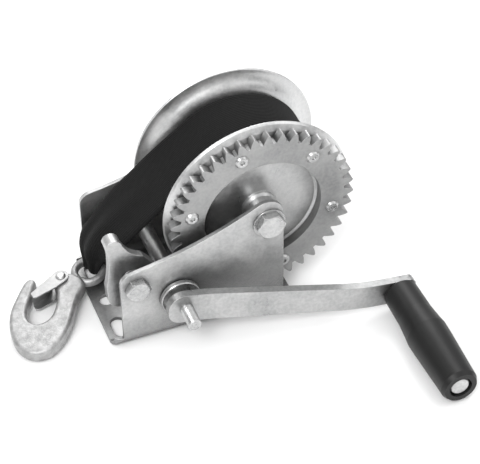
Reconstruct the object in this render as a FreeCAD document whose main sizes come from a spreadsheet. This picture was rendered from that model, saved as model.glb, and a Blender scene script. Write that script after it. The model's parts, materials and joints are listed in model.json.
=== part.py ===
"""Boat trailer winch: a hand-cranked, geared drum of webbing in a folded steel channel.

Axes: +X points away from the hook, +Y towards the far side plate, +Z up.
Origin: the middle of the base's underside.
"""
import FreeCAD, Part
import Sketcher
import math
import os

DOC = FreeCAD.newDocument("boat_trailer_winch")
SHEET = DOC.addObject("Spreadsheet::Sheet", "Dimensions")

X_AXIS = FreeCAD.Vector(1, 0, 0)
Y_AXIS = FreeCAD.Vector(0, 1, 0)
Z_AXIS = FreeCAD.Vector(0, 0, 1)
ALONG_Y = FreeCAD.Rotation(X_AXIS, -90)  # turns a shape's own +Z to the row's +Y
HEX_CIRCUM = 2 / math.sqrt(3)  # corner radius of a hexagon over its flat radius

# Driving dimensions: alias, millimetres (or degrees, or a count), meaning.
DIMENSIONS = [
    ("base_half_length", 70, "base, half its length along X"),
    ("channel_half_width", 47, "channel, half its width over the side plates"),
    ("sheet", 3, "channel sheet thickness"),
    ("bend_outer", 8, "outside radius of the channel's two folds"),
    ("channel_top", 112, "height of the folded blank before the side plates are cut"),
    ("plate_front_x", -61.5, "side plate, front edge"),
    ("plate_rear_x", 61.7, "side plate, rear edge"),
    ("plate_foot_z", 8, "side plates start above the folds"),
    ("plate_front_z", 68.2, "side plate, height of the front corner"),
    ("plate_mid_x", -1.5, "side plate, middle of the hollow top edge"),
    ("plate_mid_z", 81.6, "side plate, middle of the hollow top edge"),
    ("plate_crest_x", 43.1, "side plate, end of the hollow top edge"),
    ("plate_crest_z", 101, "side plate, end of the hollow top edge"),
    ("plate_rear_z", 109.2, "side plate, height of the rear corner before rounding"),
    ("front_corner_radius", 9, "rounding of the side plate's front corner"),
    ("rear_corner_radius", 13, "rounding of the side plate's rear corner"),
    ("base_corner", 8.5, "base, rounding of its corners seen from above"),
    ("slot_row_x", 59.5, "base slots, distance of each row from the middle"),
    ("slot_row_y", 29.5, "base slots, distance of each slot from the middle"),
    ("slot_radius", 5.6, "base slots, half their width"),
    ("slot_reach", 4.4, "base slots, half the distance between their end arcs"),
    ("drum_x", 50.5, "drum axis"),
    ("drum_z", 83, "drum axis"),
    ("pinion_z", 37.55, "pinion axis"),
    ("axle_radius", 6, "drum axle bolt"),
    ("axle_far_end", 61, "drum axle bolt, far end"),
    ("axle_hex_flats", 19, "axle head and nut, across flats"),
    ("axle_head_height", 5.6, "axle head"),
    ("axle_washer_radius", 12, "axle washers"),
    ("axle_washer_height", 1.2, "axle washers"),
    ("axle_nut_height", 9.5, "axle nut"),
    ("sleeve_radius", 8, "sleeve on the axle bolt"),
    ("bearing_gap", 0.05, "radial running clearance of every bearing"),
    ("gear_teeth", 41, "ring gear teeth"),
    ("pinion_teeth", 10, "pinion teeth"),
    ("gear_module", 3.25, "module"),
    ("pressure_angle", 25, "tooth pressure angle"),
    ("tooth_backlash", 0.5, "play cut from each gear's teeth at the pitch circle"),
    ("tip_rounding", 1.0, "rounding of the tooth tips' corners"),
    ("root_clearance", 0.9, "depth of the tooth gap below the mating tip"),
    ("gear_front_y", -36.2, "ring gear, near face"),
    ("gear_thickness", 7, "ring gear"),
    ("gear_bore", 44.6, "ring gear, hole radius"),
    ("rivet_circle", 55, "gear rivets, circle radius"),
    ("rivet_count", 6, "gear rivets"),
    ("rivet_phase", 46.4, "gear rivets, angle of the first"),
    ("rivet_shank", 3, "gear rivets, shank radius"),
    ("rivet_head", 5.2, "gear rivets, head radius"),
    ("rivet_rise", 1.5, "gear rivets, head height"),
    ("rivet_dimple", 1.8, "gear rivets, radius of the punched dimple"),
    ("pinion_front_y", -36.9, "pinion, near face"),
    ("pinion_thickness", 8.4, "pinion"),
    ("shaft_radius", 6, "crank shaft"),
    ("shaft_far_end", 51, "crank shaft, far end"),
    ("arm_inner_y", -57.2, "crank arm, hub's inner face, where the shaft steps down"),
    ("stub_end_y", -80.5, "crank shaft, end of the threaded stub"),
    ("stub_radius", 5, "crank shaft, threaded stub"),
    ("thread_root", 4.4, "crank shaft, radius between the thread's crests"),
    ("thread_pitch", 1.5, "crank shaft, thread pitch"),
    ("thread_start_y", -64.2, "crank shaft, first thread groove"),
    ("strap_half_width", 25, "webbing, half its width"),
    ("strap_middle_y", 4, "webbing, middle of its width on the drum"),
    ("strap_thickness", 2.4, "webbing"),
    ("roll_radius", 54, "wound webbing"),
    ("roll_gap", 0.3, "gap between the wound webbing and its outer turn"),
    ("core_radius", 20, "drum core tube"),
    ("core_bore", 17.5, "drum core tube"),
    ("core_near_y", -25.5, "drum core, near end"),
    ("core_far_y", 32.8, "drum core, far end"),
    ("hub_length", 12, "hub bushes in the drum core"),
    ("collar_seat", 14, "hub collar, radius inside the near flange"),
    ("near_flange_face_y", -27.5, "near flange, outer face of its flat middle"),
    ("far_flange_face_y", 34.8, "far flange, outer face of its flat middle"),
    ("anchor_offset", 26, "strap anchor bolt, distance from the drum axis"),
    ("anchor_angle", -142, "strap anchor bolt, angle from +X"),
    ("anchor_radius", 4, "strap anchor bolt"),
    ("anchor_flats", 11, "strap anchor bolt, across flats"),
    ("anchor_head", 4, "strap anchor bolt, head and nut height"),
    ("arm_thickness", 6, "crank arm bar"),
    ("arm_hub_half_width", 12.6, "crank arm, half its width at the hub"),
    ("arm_tip_half_width", 10.2, "crank arm, half its width at the grip"),
    ("arm_back", 13.5, "crank arm, length behind the shaft"),
    ("arm_overhang", 12, "crank arm, length past the grip axis"),
    ("arm_first_bend", 8, "crank arm, distance of the first bend from the shaft"),
    ("arm_second_bend", 126, "crank arm, distance of the second bend from the shaft"),
    ("arm_offset", 22.2, "crank arm, how far the second bend steps outwards"),
    ("arm_bend_radius", 160, "crank arm, radius of its bends"),
    ("arm_hub_corner", 11, "crank arm, corner rounding at the hub"),
    ("arm_corner", 5, "crank arm, corner rounding at the grip"),
    ("grip_x", 137.5, "grip axis at rest"),
    ("grip_z", 15.8, "grip axis at rest"),
    ("grip_length", 100, "grip"),
    ("grip_washer_height", 1, "washer behind the grip"),
    ("grip_washer_radius", 9, "washer behind the grip"),
    ("grip_pin", 4, "grip rivet, shank radius"),
    ("grip_pin_head", 7, "grip rivet, radius of the head behind the arm"),
    ("grip_pin_head_height", 2.5, "grip rivet, head behind the arm"),
    ("grip_disc", 7.2, "grip rivet, radius of the end disc"),
    ("grip_recess", 8.4, "grip, radius of the end recess"),
    ("grip_recess_depth", 3.6, "grip, depth of the end recess"),
    ("pawl_x", -49.5, "pawl bolt axis"),
    ("pawl_z", 55, "pawl bolt axis"),
    ("pawl_front_y", -35.5, "pawl, near face"),
    ("pawl_thickness", 6, "pawl"),
    ("pawl_tab_reach", 9.5, "pawl, depth of its thumb tab along Y"),
    ("pawl_bolt_radius", 5, "pawl bolt"),
    ("pawl_hex_flats", 16, "pawl bolt head and nut, across flats"),
    ("pawl_head_height", 5.5, "pawl bolt head"),
    ("pawl_nut_height", 4.5, "pawl nut"),
    ("pawl_spacer_radius", 6.3, "pawl spacer"),
    ("spring_coil", 7.7, "pawl spring, coil radius"),
    ("spring_wire", 0.6, "pawl spring, wire radius"),
    ("spring_pitch", 1.7, "pawl spring, pitch"),
    ("spring_turns", 4, "pawl spring, turns"),
    ("spring_leg", 9, "pawl spring, leg length"),
    ("eye_x", -65.5, "hook eye at rest, middle"),
    ("eye_y", 21.3, "hook eye at rest, middle"),
    ("pivot_z", 15.5, "height of the rod the webbing loop goes round"),
    ("hook_heading", 210.5, "direction the hook lies in, from +X"),
    ("hook_droop", 6.15, "hook's slope down to the ground"),
    ("hook_half_thickness", 5.5, "hook"),
    ("hook_edge", 3, "hook, rounding of its forged edges"),
    ("eye_outer", 13, "hook eye, outer radius"),
    ("eye_inner", 8, "hook eye, inner radius"),
    ("eye_half_thickness", 3.5, "hook eye"),
    ("eye_edge", 2.4, "hook eye, rounding"),
    ("latch_u", 19, "latch rivet from the eye's middle, along the hook"),
    ("latch_v", -9.5, "latch rivet from the eye's middle, across the hook"),
    ("latch_sheet", 1.2, "latch sheet"),
    ("latch_inside", 6.3, "latch, half the distance between its two cheeks"),
    ("latch_lug", 5.6, "latch, cheek radius round the rivet"),
    ("latch_length", 27, "latch, rivet to tip"),
    ("latch_tip_half_width", 2.9, "latch, half its width at the tip"),
    ("latch_angle", -6, "latch direction at rest, from the hook's axis"),
    ("latch_pin", 2.2, "latch rivet, shank radius"),
    ("latch_pin_head", 3.8, "latch rivet, head radius"),
    ("latch_pin_rise", 1.4, "latch rivet, head height"),
    ("loop_inner", 5.9, "webbing loop, inside radius"),
    ("loop_outer", 8.6, "webbing loop, outside radius"),
    ("loop_width", 11, "webbing loop"),
]

VALUE = {}

# Sheet aliases may not look like cell names, so numbered rows are spelt out.
WORDS = ["zero", "one", "two", "three", "four", "five", "six", "seven", "eight", "nine", "ten",
         "eleven", "twelve", "thirteen", "fourteen", "fifteen", "sixteen", "seventeen", "eighteen"]


def add_cell(alias, number, meaning):
    """One row of the sheet; a repeated alias keeps its first value."""
    if alias in VALUE:
        return alias
    row = len(VALUE) + 1
    SHEET.set("A%d" % row, meaning)
    SHEET.set("B%d" % row, repr(round(number, 6)))
    SHEET.setAlias("B%d" % row, alias)
    VALUE[alias] = round(number, 6)
    return alias


def value(name):
    """A number, a cell's value, or minus a cell's value."""
    if not isinstance(name, str):
        return float(name)
    if name.startswith("-"):
        return -VALUE[name[1:]]
    return VALUE[name]


def formula(name):
    """The expression that reads a cell, or minus a cell."""
    if name.startswith("-"):
        return "-Dimensions." + name[1:]
    return "Dimensions." + name


def bind(thing, **properties):
    """Ties each property to a cell, or sets it where a plain number is given."""
    for key, name in properties.items():
        if isinstance(name, str):
            thing.setExpression(key, formula(name))
        else:
            setattr(thing, key, name)
    return thing


def place(thing, x=0, y=0, z=0, rotation=None):
    """Puts a finished piece where it belongs, from the sheet."""
    base = FreeCAD.Vector(value(x), value(y), value(z))
    thing.Placement = FreeCAD.Placement(base, rotation or FreeCAD.Rotation())
    for key, name in (("x", x), ("y", y), ("z", z)):
        if isinstance(name, str):
            thing.setExpression("Placement.Base." + key, formula(name))
    return thing


def around_y(degrees):
    return FreeCAD.Rotation(Y_AXIS, degrees)


# ---------------------------------------------------------------- primitives


def cylinder(name, radius, height, start=0):
    """A cylinder along +Z from `start`."""
    solid = DOC.addObject("Part::Cylinder", name)
    bind(solid, Radius=radius, Height=height)
    solid.Placement.Base = FreeCAD.Vector(0, 0, value(start))
    return solid


def cut(name, base, tool):
    result = DOC.addObject("Part::Cut", name)
    result.Base = base
    result.Tool = tool
    return result


def fuse(name, shapes):
    """Joins shapes one after another; the last join carries the name."""
    joined = shapes[0]
    for count, other in enumerate(shapes[1:], 2):
        step = DOC.addObject("Part::Fuse", name if count == len(shapes) else "%s_join_%d" % (name, count))
        step.Base = joined
        step.Tool = other
        joined = step
    return joined


def common(name, shapes):
    result = DOC.addObject("Part::MultiCommon", name)
    result.Shapes = shapes
    return result


def tube(name, outer, inner, length):
    """A ring or washer along +Z, starting at zero."""
    return cut(name, cylinder(name + "_body", outer, length), cylinder(name + "_bore", inner, length))


def hexagon(name, flats, height, start=0):
    """A hexagonal head or nut along +Z with its upper corners chamfered."""
    prism = DOC.addObject("Part::Prism", name + "_prism")
    prism.Polygon = 6
    prism.setExpression("Circumradius", "%s * %.6f / 2" % (formula(flats), HEX_CIRCUM))
    bind(prism, Height=height)
    cone = DOC.addObject("Part::Cone", name + "_chamfer")
    face = value(flats) / 2 * 0.96
    cone.Radius1 = face + value(height) * math.tan(math.radians(60))
    cone.Radius2 = face
    bind(cone, Height=height)
    head = common(name, [prism, cone])
    head.Placement.Base = FreeCAD.Vector(0, 0, value(start))
    return head


def hex_bolt(name, flats, head, shank, length):
    """Head from zero upwards, shank from zero downwards, along Z."""
    stem = cylinder(name + "_shank", shank, length)
    stem.Placement = FreeCAD.Placement(FreeCAD.Vector(0, 0, -value(length)), FreeCAD.Rotation())
    return fuse(name, [hexagon(name + "_head", flats, head), stem])


def hex_nut(name, flats, height, bore):
    return cut(name, hexagon(name + "_hex", flats, height), cylinder(name + "_bore", bore, height))


# ------------------------------------------------------------ sketched bodies


def new_body(name):
    return DOC.addObject("PartDesign::Body", name)


def origin_plane(body, role):
    return next(f for f in body.Origin.OriginFeatures if f.Role == role)


def new_sketch(body, name, role):
    sketch = body.newObject("Sketcher::SketchObject", name)
    sketch.AttachmentSupport = [(origin_plane(body, role), "")]
    sketch.MapMode = "FlatFace"
    return sketch


def pin_down(sketch, geometry, corner, point):
    """Fixes one end of a curve at a distance from the sketch's origin."""
    for kind, name in (("DistanceX", point[0]), ("DistanceY", point[1])):
        amount = value(name)
        if abs(amount) < 1e-9:
            axis = -2 if kind == "DistanceX" else -1
            sketch.addConstraint(Sketcher.Constraint("PointOnObject", geometry, corner, axis))
            continue
        rule = sketch.addConstraint(Sketcher.Constraint(kind, -1, 1, geometry, corner, amount))
        if isinstance(name, str):
            sketch.setExpression("Constraints[%d]" % rule, formula(name))


def flat(point):
    return FreeCAD.Vector(value(point[0]), value(point[1]), 0)


def anticlockwise_arc(start, middle, end):
    """The arc through three points, and whether it runs anticlockwise from the first of them."""
    centre = Part.Arc(start, middle, end).toShape().Curve.Center
    turn = (middle - start).cross(end - middle).z
    first, last = (start, end) if turn > 0 else (end, start)
    angles = [math.atan2(point.y - centre.y, point.x - centre.x) for point in (first, last)]
    circle = Part.Circle(centre, Z_AXIS, (start - centre).Length)
    return Part.ArcOfCircle(circle, angles[0], angles[1]), turn > 0


def draw_outline(sketch, points):
    """A closed outline. A third entry on a point is the middle of an arc that leads to the next point."""
    ends = []
    for here, there in zip(points, points[1:] + points[:1]):
        start, end = flat(here), flat(there)
        if len(here) == 3:
            arc, forward = anticlockwise_arc(start, flat(here[2]), end)
            index = sketch.addGeometry(arc, False)
            first, last = (1, 2) if forward else (2, 1)
            if (end - start).Length < 1.98 * arc.Radius:
                sketch.addConstraint(Sketcher.Constraint("Radius", index, arc.Radius))
        else:
            index = sketch.addGeometry(Part.LineSegment(start, end), False)
            first, last = 1, 2
        ends.append((index, first, last))
    for number, point in enumerate(points):
        index, first, _ = ends[number]
        before, _, last = ends[number - 1]
        sketch.addConstraint(Sketcher.Constraint("Coincident", before, last, index, first))
        pin_down(sketch, index, first, point)
    return sketch


def draw_circle(sketch, centre, radius):
    circle = Part.Circle(flat(centre), Z_AXIS, value(radius))
    index = sketch.addGeometry(circle, False)
    rule = sketch.addConstraint(Sketcher.Constraint("Radius", index, value(radius)))
    if isinstance(radius, str):
        sketch.setExpression("Constraints[%d]" % rule, formula(radius))
    pin_down(sketch, index, 3, centre)
    return sketch


def pad(body, sketch, length, midplane=False, reversed_way=False):
    feature = body.newObject("PartDesign::Pad", sketch.Name + "_pad")
    feature.Profile = sketch
    bind(feature, Length=length)
    feature.SideType = "Symmetric" if midplane else "One side"
    feature.Reversed = reversed_way
    body.Tip = feature
    return feature


def pocket_through(body, sketch):
    """Cuts the sketch right through the body, both ways."""
    before = volume_of(body)
    feature = body.newObject("PartDesign::Pocket", sketch.Name + "_cut")
    feature.Profile = sketch
    feature.Type = "ThroughAll"
    feature.SideType = "Symmetric"
    body.Tip = feature
    if volume_of(body) >= before:
        raise ValueError(sketch.Name + " removed nothing")
    return feature


def volume_of(body):
    """The body's volume, after bringing only this body up to date."""
    DOC.recompute([body])
    return body.Shape.Volume


def turned(name, profile, radial_role="XY_Plane"):
    """A body of revolution about its own Y axis. Profile points are (radius, distance along Y)."""
    body = new_body(name)
    sketch = draw_outline(new_sketch(body, name + "_profile", radial_role), profile)
    feature = body.newObject("PartDesign::Revolution", name + "_turn")
    feature.Profile = sketch
    feature.ReferenceAxis = (sketch, ["V_Axis"])
    feature.Angle = 360
    body.Tip = feature
    return body


def round_edges(body, name, wanted, radius):
    """Rounds the edges of the body's last feature that `wanted` picks."""
    DOC.recompute([body])
    last = body.Tip
    names = ["Edge%d" % (i + 1) for i, edge in enumerate(last.Shape.Edges) if wanted(edge)]
    if not names:
        raise ValueError(name + " found no edges")
    feature = body.newObject("PartDesign::Fillet", name)
    feature.Base = (last, names)
    bind(feature, Radius=radius)
    body.Tip = feature
    return feature


def upright_at(x, z, reach=0.6):
    """Picks edges along Y that pass through (x, z)."""

    def test(edge):
        first, last = edge.Vertexes[0].Point, edge.Vertexes[-1].Point
        straight = abs(first.x - last.x) < 1e-6 and abs(first.z - last.z) < 1e-6
        near = math.hypot(first.x - value(x), first.z - value(z)) < reach
        return straight and near and abs(first.y - last.y) > 1e-6

    return test


# --------------------------------------------------------------------- frame


def make_channel():
    """The base and both side plates, folded from one sheet, then cut to shape and pierced."""
    body = new_body("frame_channel")
    half, top, bend = "channel_half_width", "channel_top", value("bend_outer")
    side, inner = value(half), value("bend_outer") - value("sheet")
    lean = math.sqrt(0.5)
    add_cell("fold_y", side - bend, "start of each fold, from the middle")
    add_cell("inside_y", side - value("sheet"), "inner face of each side plate")
    outer_mid = (side - bend * (1 - lean), bend * (1 - lean))
    inner_mid = (side - bend + inner * lean, bend - inner * lean)
    profile = new_sketch(body, "channel_profile", "YZ_Plane")
    draw_outline(profile, [
        ("-fold_y", 0),
        ("fold_y", 0, outer_mid),
        (half, "bend_outer"),
        (half, top),
        ("inside_y", top),
        ("inside_y", "bend_outer", inner_mid),
        ("fold_y", "sheet"),
        ("-fold_y", "sheet", (-inner_mid[0], inner_mid[1])),
        ("-inside_y", "bend_outer"),
        ("-inside_y", top),
        ("-" + half, top),
        ("-" + half, "bend_outer", (-outer_mid[0], outer_mid[1])),
    ])
    add_cell("base_length", 2 * value("base_half_length"), "base length")
    pad(body, profile, "base_length", midplane=True)
    trim_side_plates(body)
    pierce_side_plates(body)
    pierce_base(body)
    round_base_corners(body)
    round_edges(body, "front_corners", upright_at("plate_front_x", "plate_front_z"), "front_corner_radius")
    round_edges(body, "rear_corners", upright_at("plate_rear_x", "plate_rear_z"), "rear_corner_radius")
    return body


def trim_side_plates(body):
    """Cuts away everything outside the side plates' outline."""
    trim = new_sketch(body, "side_outline", "XZ_Plane")
    draw_outline(trim, [
        ("-base_half_length", "plate_foot_z"),
        ("plate_front_x", "plate_foot_z"),
        ("plate_front_x", "plate_front_z", ("plate_mid_x", "plate_mid_z")),
        ("plate_crest_x", "plate_crest_z"),
        ("plate_rear_x", "plate_rear_z"),
        ("plate_rear_x", "plate_foot_z"),
        ("base_half_length", "plate_foot_z"),
        (value("base_half_length") + 5, "plate_foot_z"),
        (value("base_half_length") + 5, value("channel_top") + 5),
        (-value("base_half_length") - 5, value("channel_top") + 5),
        (-value("base_half_length") - 5, "plate_foot_z"),
    ])
    pocket_through(body, trim)


def pierce_side_plates(body):
    """Shaft and axle holes in both plates; the pawl bolt's hole in the near one."""
    add_cell("bush_radius", value("shaft_radius") + 2.5, "shaft bushes, radius in the plate")
    holes = new_sketch(body, "shaft_holes", "XZ_Plane")
    draw_circle(holes, ("drum_x", "drum_z"), "axle_radius")
    draw_circle(holes, ("pinion_x", "pinion_z"), "bush_radius")
    pocket_through(body, holes)
    pawl_hole = new_sketch(body, "pawl_hole", "XZ_Plane")
    draw_circle(pawl_hole, ("pawl_x", "pawl_z"), "pawl_bolt_radius")
    before = volume_of(body)
    feature = body.newObject("PartDesign::Pocket", "pawl_hole_cut")
    feature.Profile = pawl_hole
    bind(feature, Length="channel_half_width")
    body.Tip = feature
    DOC.recompute([body])
    near_side = body.Shape.isInside(
        FreeCAD.Vector(value("pawl_x"), -value("channel_half_width") + 1, value("pawl_z")), 1e-4, False)
    if near_side:
        feature.Reversed = True
    if volume_of(body) >= before:
        raise ValueError("the pawl hole removed nothing")


def pierce_base(body):
    """Two rows of crosswise slots, and a round hole in the middle of the front edge."""
    slots = new_sketch(body, "base_slots", "XY_Plane")
    width, reach = value("slot_radius"), value("slot_reach")
    for row in (-1, 1):
        for side in (-1, 1):
            x, y = row * value("slot_row_x"), side * value("slot_row_y")
            draw_outline(slots, [
                (x - width, y - reach, (x, y - reach - width)),
                (x + width, y - reach),
                (x + width, y + reach, (x, y + reach + width)),
                (x - width, y + reach),
            ])
    draw_circle(slots, (-value("slot_row_x"), 0), "slot_radius")
    pocket_through(body, slots)


def round_base_corners(body):
    """Cuts the base's four corners to a round, up to the side plates' end edges."""
    corners = new_sketch(body, "base_corners", "XY_Plane")
    half, side, radius = value("base_half_length"), value("channel_half_width"), value("base_corner")
    soft, spare = radius * (1 - math.sqrt(0.5)), 1
    for along in (-1, 1):
        for across in (-1, 1):
            draw_outline(corners, [
                (along * (half + spare), across * (side + spare)),
                (along * (half - radius), across * (side + spare)),
                (along * (half - radius), across * side, (along * (half - soft), across * (side - soft))),
                (along * half, across * (side - radius)),
                (along * (half + spare), across * (side - radius)),
            ])
    pocket_through(body, corners)


def make_axle():
    """The bolt the drum turns on, with its washers, nut and sleeve."""
    add_cell("near_face_y", -value("channel_half_width"), "near side plate, outer face")
    add_cell("washer_face_y", value("near_face_y") - value("axle_washer_height"),
             "near axle washer, outer face")
    add_cell("axle_length", value("axle_far_end") - value("washer_face_y"), "axle bolt under its head")
    bolt = hex_bolt("drum_axle_bolt", "axle_hex_flats", "axle_head_height", "axle_radius", "axle_length")
    place(bolt, "drum_x", "washer_face_y", "drum_z", FreeCAD.Rotation(X_AXIS, 90))
    near = tube("axle_near_washer", "axle_washer_radius", "axle_radius", "axle_washer_height")
    place(near, "drum_x", "washer_face_y", "drum_z", ALONG_Y)
    far = tube("axle_far_washer", "axle_washer_radius", "axle_radius", "axle_washer_height")
    place(far, "drum_x", "channel_half_width", "drum_z", ALONG_Y)
    nut = hex_nut("axle_nut", "axle_hex_flats", "axle_nut_height", "axle_radius")
    add_cell("axle_nut_y", value("channel_half_width") + value("axle_washer_height"), "axle nut, near face")
    place(nut, "drum_x", "axle_nut_y", "drum_z", ALONG_Y)
    add_cell("sleeve_length", 2 * value("inside_y"), "sleeve, clamped between the side plates")
    sleeve = tube("axle_sleeve", "sleeve_radius", "axle_radius", "sleeve_length")
    place(sleeve, "drum_x", "-inside_y", "drum_z", ALONG_Y)
    return [bolt, near, far, nut, sleeve]


def make_shaft_bushes():
    """A flanged bush in each side plate for the crank shaft."""
    add_cell("shaft_bore", value("shaft_radius") + value("bearing_gap"), "bore of the shaft bushes")
    add_cell("bush_flange", value("bush_radius") + 2.5, "shaft bushes, flange radius")
    add_cell("bush_depth", value("sheet") + 2, "shaft bushes, length")
    profile = [
        ("shaft_bore", 0),
        ("bush_radius", 0),
        ("bush_radius", "sheet"),
        ("bush_flange", "sheet"),
        ("bush_flange", "bush_depth"),
        ("shaft_bore", "bush_depth"),
    ]
    near = turned("shaft_near_bush", profile)
    place(near, "pinion_x", "near_face_y", "pinion_z")
    far = turned("shaft_far_bush", profile)
    place(far, "pinion_x", "channel_half_width", "pinion_z", FreeCAD.Rotation(Z_AXIS, 180))
    return [near, far]


# ---------------------------------------------------------------------- drum


def ring_profile(prefix, points):
    """Names a list of (radius, y) numbers in the sheet, so a profile can be bound to them."""
    named = []
    for number, (radius, y) in enumerate(points, 1):
        radial = add_cell("%s_radius_%s" % (prefix, WORDS[number]), radius, prefix + " profile radius")
        axial = add_cell("%s_y_%s" % (prefix, WORDS[number]), y, prefix + " profile position")
        named.append((radial, axial))
    return named


def pierce_flange(body, name, with_rivets):
    """The anchor bolt's hole, and the rivet holes where the gear is fixed."""
    holes = new_sketch(body, name, "XZ_Plane")
    draw_circle(holes, ("anchor_x", "anchor_z"), "anchor_radius")
    if with_rivets:
        for x, z in rivet_points():
            draw_circle(holes, (x, z), "rivet_shank")
    pocket_through(body, holes)


def rivet_points():
    step = 360 / value("rivet_count")
    for number in range(int(value("rivet_count"))):
        angle = math.radians(value("rivet_phase") + number * step)
        yield value("rivet_circle") * math.cos(angle), value("rivet_circle") * math.sin(angle)


# Half sections of the flanges: (radius, distance along the drum's axis), with the middle of an arc third.
NEAR_FLANGE_PROFILE = [
    (14, -27.5), (43, -27.5), (46, -29.2), (60, -29.2), (66, -27.2), (70, -24.4), (71, -22.6),
    (69.4, -21.8), (68.2, -23.2), (65.2, -25.2), (59.6, -27.2), (46.8, -27.2), (43.8, -25.5), (14, -25.5),
]
FAR_FLANGE_PROFILE = [
    (14, 32.8),
    (50, 32.8, (55.87, 33.86)),
    (61, 36.9, (65.01, 39.33)),
    (69.2, 40.3, (69.96, 41.3)),
    (69.2, 42.31, (64.31, 41.21)),
    (59.7, 38.42, (55.17, 35.73)),
    (50, 34.8),
    (14, 34.8),
]


def make_flanges():
    """Two pressed discs. Each is 2 mm sheet with its rim turned."""
    near = turned("near_flange", ring_profile("near_flange", NEAR_FLANGE_PROFILE))
    pierce_flange(near, "near_flange_holes", True)
    far = turned("far_flange", FAR_FLANGE_PROFILE)
    pierce_flange(far, "far_flange_holes", False)
    for flange in (near, far):
        place(flange, "drum_x", 0, "drum_z")
    return [near, far]


def make_drum_core():
    """The tube the strap winds on, its two hub bushes and the flared collar on the near side."""
    add_cell("core_length", value("core_far_y") - value("core_near_y"), "drum core length")
    core = tube("drum_core", "core_radius", "core_bore", "core_length")
    place(core, "drum_x", "core_near_y", "drum_z", ALONG_Y)
    add_cell("hub_bore", value("sleeve_radius") + value("bearing_gap"), "bore of the drum's hubs")
    near = tube("near_hub_bush", "core_bore", "hub_bore", "hub_length")
    place(near, "drum_x", "core_near_y", "drum_z", ALONG_Y)
    add_cell("far_hub_y", value("core_far_y") - value("hub_length"), "far hub bush, near face")
    far = tube("far_hub_bush", "core_bore", "hub_bore", "hub_length")
    place(far, "drum_x", "far_hub_y", "drum_z", ALONG_Y)
    bore = value("hub_bore")
    collar = turned("hub_collar", ring_profile("collar", [
        (bore, -25.5), (value("collar_seat"), -25.5), (value("collar_seat"), -27.5), (13, -27.5),
        (12.6, -29.4), (11, -31), (11, -38.4), (12.4, -39.2), (12.4, -41.2), (11.8, -41.8), (bore, -41.8)]))
    place(collar, "drum_x", 0, "drum_z")
    return [core, near, far, collar]


def tooth_gap(prefix, teeth):
    """The gap between two teeth: half widths and distances out, from the root to past the rounded tips."""
    count, module = value(teeth), value("gear_module")
    pitch = count * module / 2
    base = pitch * math.cos(math.radians(value("pressure_angle")))
    tip, root = pitch + module, pitch - module - value("root_clearance")
    half_at_pitch = math.pi / (2 * count) + value("tooth_backlash") / (2 * pitch)

    def station(radius, extra):
        half = half_at_pitch + involute(base, radius) - involute(base, pitch)
        return radius * math.sin(half) + extra, radius * math.cos(half)

    soft = value("tip_rounding")
    shoulder = tip - soft
    flank = [station(root + (shoulder - root) * step / 4, 0) for step in range(5)]
    crest = [station(tip - soft * (1 - rise), soft * spread)
             for rise, spread in ((0.5, 0.134), (0.866, 0.5), (1.0, 1.0), (1.4, 1.6))]
    crest.append((crest[-1][0], tip + module))
    add_cell(prefix + "_tip", tip, prefix + " tooth tip radius")
    return [(add_cell("%s_gap_half_%s" % (prefix, WORDS[i]), half, prefix + " tooth gap, half width"),
             add_cell("%s_gap_radius_%s" % (prefix, WORDS[i]), radius, prefix + " tooth gap, distance out"))
            for i, (half, radius) in enumerate(flank + crest, 1)]


def involute(base, radius):
    """Involute function at a radius; below the base circle the flank runs straight in."""
    if radius <= base:
        return 0.0
    angle = math.acos(base / radius)
    return math.tan(angle) - angle


def toothed_body(name, prefix, teeth, thickness, bore):
    """A disc with one tooth gap cut and then repeated round the axis."""
    stations = tooth_gap(prefix, teeth)
    body = new_body(name)
    blank = new_sketch(body, prefix + "_blank", "XZ_Plane")
    draw_circle(blank, (0, 0), prefix + "_tip")
    draw_circle(blank, (0, 0), bore)
    pad(body, blank, thickness, reversed_way=True)
    gap = new_sketch(body, prefix + "_gap", "XZ_Plane")
    left = [("-" + half, radius) for half, radius in stations]
    draw_outline(gap, stations + left[::-1])
    feature = pocket_through(body, gap)
    pattern = body.newObject("PartDesign::PolarPattern", prefix + "_teeth")
    pattern.Originals = [feature]
    pattern.Axis = (gap, ["N_Axis"])
    pattern.Angle = 360
    pattern.setExpression("Occurrences", "Dimensions." + teeth)
    body.Tip = pattern
    return body


def make_ring_gear():
    """The toothed ring and the rivets that hold it to the near flange."""
    body = toothed_body("ring_gear", "gear", "gear_teeth", "gear_thickness", "gear_bore")
    holes = new_sketch(body, "gear_rivet_holes", "XZ_Plane")
    turn = math.radians(value("gear_turn"))
    for x, z in rivet_points():
        draw_circle(holes, (x * math.cos(turn) + z * math.sin(turn), z * math.cos(turn) - x * math.sin(turn)),
                    "rivet_shank")
    pocket_through(body, holes)
    place(body, "drum_x", "gear_front_y", "drum_z", around_y(-value("gear_turn")))
    rivets = []
    for number, (x, z) in enumerate(rivet_points()):
        rivet = one_rivet("gear_rivet_%d" % (number + 1))
        rivet.Placement = FreeCAD.Placement(FreeCAD.Vector(x, 0, z), ALONG_Y)
        rivets.append(rivet)
    group = DOC.addObject("Part::Compound", "gear_rivets")
    group.Links = rivets
    place(group, "drum_x", "gear_front_y", "drum_z")
    return [body, group]


def one_rivet(name):
    """A dimpled round head on a shank that reaches through the gear and the flange."""
    add_cell("rivet_length", value("gear_thickness") + 2.2, "gear rivets, grip length")
    shank = cylinder(name + "_shank", "rivet_shank", "rivet_length")
    head = DOC.addObject("Part::Cone", name + "_head")
    bind(head, Radius1="rivet_head", Height="rivet_rise")
    head.Radius2 = value("rivet_head") - 1.4
    head.Placement = FreeCAD.Placement(FreeCAD.Vector(0, 0, 0), FreeCAD.Rotation(X_AXIS, 180))
    tail = cylinder(name + "_tail", "rivet_head", 1.0, "rivet_length")
    solid = fuse(name + "_solid", [shank, head, tail])
    dimple = cylinder(name + "_dimple", "rivet_dimple", 1.0, -value("rivet_rise"))
    return cut(name, solid, dimple)


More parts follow.
